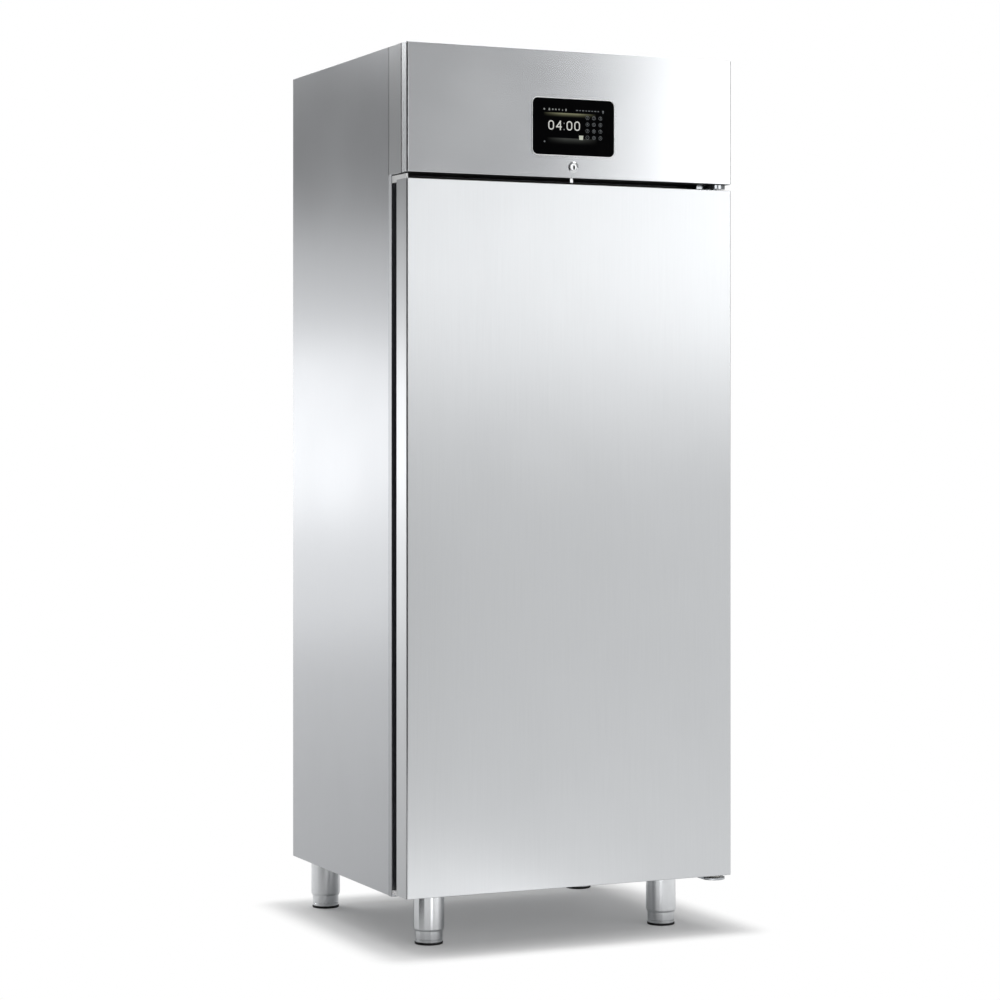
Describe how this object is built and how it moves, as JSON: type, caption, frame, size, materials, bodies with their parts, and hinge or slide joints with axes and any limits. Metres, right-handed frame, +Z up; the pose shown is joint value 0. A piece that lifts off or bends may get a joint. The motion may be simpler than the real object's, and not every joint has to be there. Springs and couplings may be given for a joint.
{
  "type": "bakery refrigerator",
  "caption": "Upright stainless bakery refrigerator with a full-height insulated door, a tilting header panel with a touch display and lock, tray runners and adjustable feet.",
  "frame": {"origin": "on the floor under the middle of the whole object's outline", "axes": "+X to the right of someone facing the door, +Y from the door to the back, +Z up"},
  "size_m": [0.79, 0.7174, 1.956],
  "materials": {
    "satin_steel": "satin brushed AISI 304 sheet",
    "door_steel": "satin brushed sheet of the door and header",
    "liner_steel": "bright-rolled inner lining",
    "bracket_steel": "machined bracket and pin steel",
    "leg_steel": "turned stainless tube",
    "bezel_metal": "polished rim",
    "lock_chrome": "chromed lock",
    "display_glass": "black printed touch glass",
    "black_plastic": "black moulded plastic",
    "grip_dark": "dark extruded profile",
    "grey_rubber": "grey magnetic seal",
    "black_rubber": "black rubber",
    "foam": "closed-cell polyurethane foam",
    "galvanised": "galvanised sheet",
    "black_paint": "black enamel",
    "coil_fins": "aluminium fin pack",
    "copper": "bare copper tube",
    "white_plastic": "white moulded plastic",
    "grey_plastic": "light grey moulded plastic",
    "acetal": "white acetal bush"
  },
  "bodies": {
    "cabinet": {"left_side_panel": "satin_steel", "right_side_panel": "satin_steel", "back_panel": "galvanised", "base_panel": "galvanised", "top_cover": "satin_steel", "compartment_deck": "galvanised", "inner_liner": "liner_steel", "cabinet_insulation": "foam", "door_surround": "door_steel", "leg_screws": "bracket_steel", "upper_hinge_bracket": "bracket_steel", "lower_hinge_bracket": "bracket_steel", "hinge_pins": "bracket_steel", "header_frame": "door_steel", "fascia_hinge_pins": "bracket_steel", "rack_uprights": "liner_steel", "tray_runners": "liner_steel", "air_duct_panel": "liner_steel", "evaporator_coil": "coil_fins", "evaporator_fan_guard": "bracket_steel", "evaporator_fan_motor": "black_plastic", "interior_lamp": "white_plastic", "condenser_coil": "coil_fins", "condenser_fan_shroud": "galvanised", "condenser_fan_motor": "black_plastic", "compressor": "black_paint", "compressor_mounts": "black_rubber", "filter_drier": "copper", "refrigerant_pipes": "copper", "electrical_box": "grey_plastic", "cable_gland": "black_plastic", "front_left_leg": "leg_steel", "front_right_leg": "leg_steel", "rear_left_leg": "leg_steel", "rear_right_leg": "leg_steel"},
    "door": {"door_skin": "door_steel", "door_insulation": "foam", "door_inner_panel": "liner_steel", "door_gasket": "grey_rubber", "grip_channel": "grip_dark", "grip_end_caps": "door_steel", "door_hinge_bushes": "acetal", "strike_cup": "bracket_steel"},
    "header": {"header_panel": "door_steel", "display_bezel": "bezel_metal", "display_glass": "display_glass", "controller_housing": "grey_plastic", "lock_housing": "lock_chrome"},
    "lock_core": {"lock_cylinder": "lock_chrome"},
    "bolt": {"lock_bolt": "bracket_steel"},
    "condenser_fan_rotor": {"condenser_fan": "black_plastic"},
    "evaporator_fan_rotor": {"evaporator_fan": "black_plastic"},
    "front_left_foot_assembly": {"front_left_foot": "leg_steel", "front_left_foot_pad": "black_rubber"},
    "front_right_foot_assembly": {"front_right_foot": "leg_steel", "front_right_foot_pad": "black_rubber"},
    "rear_left_foot_assembly": {"rear_left_foot": "leg_steel", "rear_left_foot_pad": "black_rubber"},
    "rear_right_foot_assembly": {"rear_right_foot": "leg_steel", "rear_right_foot_pad": "black_rubber"}
  },
  "joints": [
    {"name": "door_hinge", "type": "hinge", "parent": "cabinet", "child": "door", "pos_m": [0.368, -0.32225, 0.9], "axis": [0, 0, 1], "range_deg": [0, 110]},
    {"name": "header_tilt", "type": "hinge", "parent": "cabinet", "child": "header", "pos_m": [0, -0.33125, 1.951], "axis": [-1, 0, 0], "range_deg": [0, 75]},
    {"name": "lock_turn", "type": "hinge", "parent": "header", "child": "lock_core", "pos_m": [0, -0.35725, 1.702], "axis": [0, 1, 0], "range_deg": [0, 90]},
    {"name": "bolt_slide", "type": "slide", "parent": "header", "child": "bolt", "axis": [0, 0, -1], "range_m": [0, 0.011]},
    {"name": "condenser_fan_spin", "type": "hinge", "parent": "cabinet", "child": "condenser_fan_rotor", "pos_m": [-0.18, -0.15325, 1.816], "axis": [0, 1, 0], "continuous": true},
    {"name": "evaporator_fan_spin", "type": "hinge", "parent": "cabinet", "child": "evaporator_fan_rotor", "pos_m": [0, 0.20375, 1.485], "axis": [0, 1, 0], "continuous": true},
    {"name": "front_left_foot_height", "type": "slide", "parent": "cabinet", "child": "front_left_foot_assembly", "axis": [0, 0, 1], "range_m": [-0.03, 0.018]},
    {"name": "front_right_foot_height", "type": "slide", "parent": "cabinet", "child": "front_right_foot_assembly", "axis": [0, 0, 1], "range_m": [-0.03, 0.018]},
    {"name": "rear_left_foot_height", "type": "slide", "parent": "cabinet", "child": "rear_left_foot_assembly", "axis": [0, 0, 1], "range_m": [-0.03, 0.018]},
    {"name": "rear_right_foot_height", "type": "slide", "parent": "cabinet", "child": "rear_right_foot_assembly", "axis": [0, 0, 1], "range_m": [-0.03, 0.018]}
  ],
  "couplings": [
    {"joint": "lock_turn", "follows": "bolt_slide", "rad_per_m": 142.79}
  ]
}
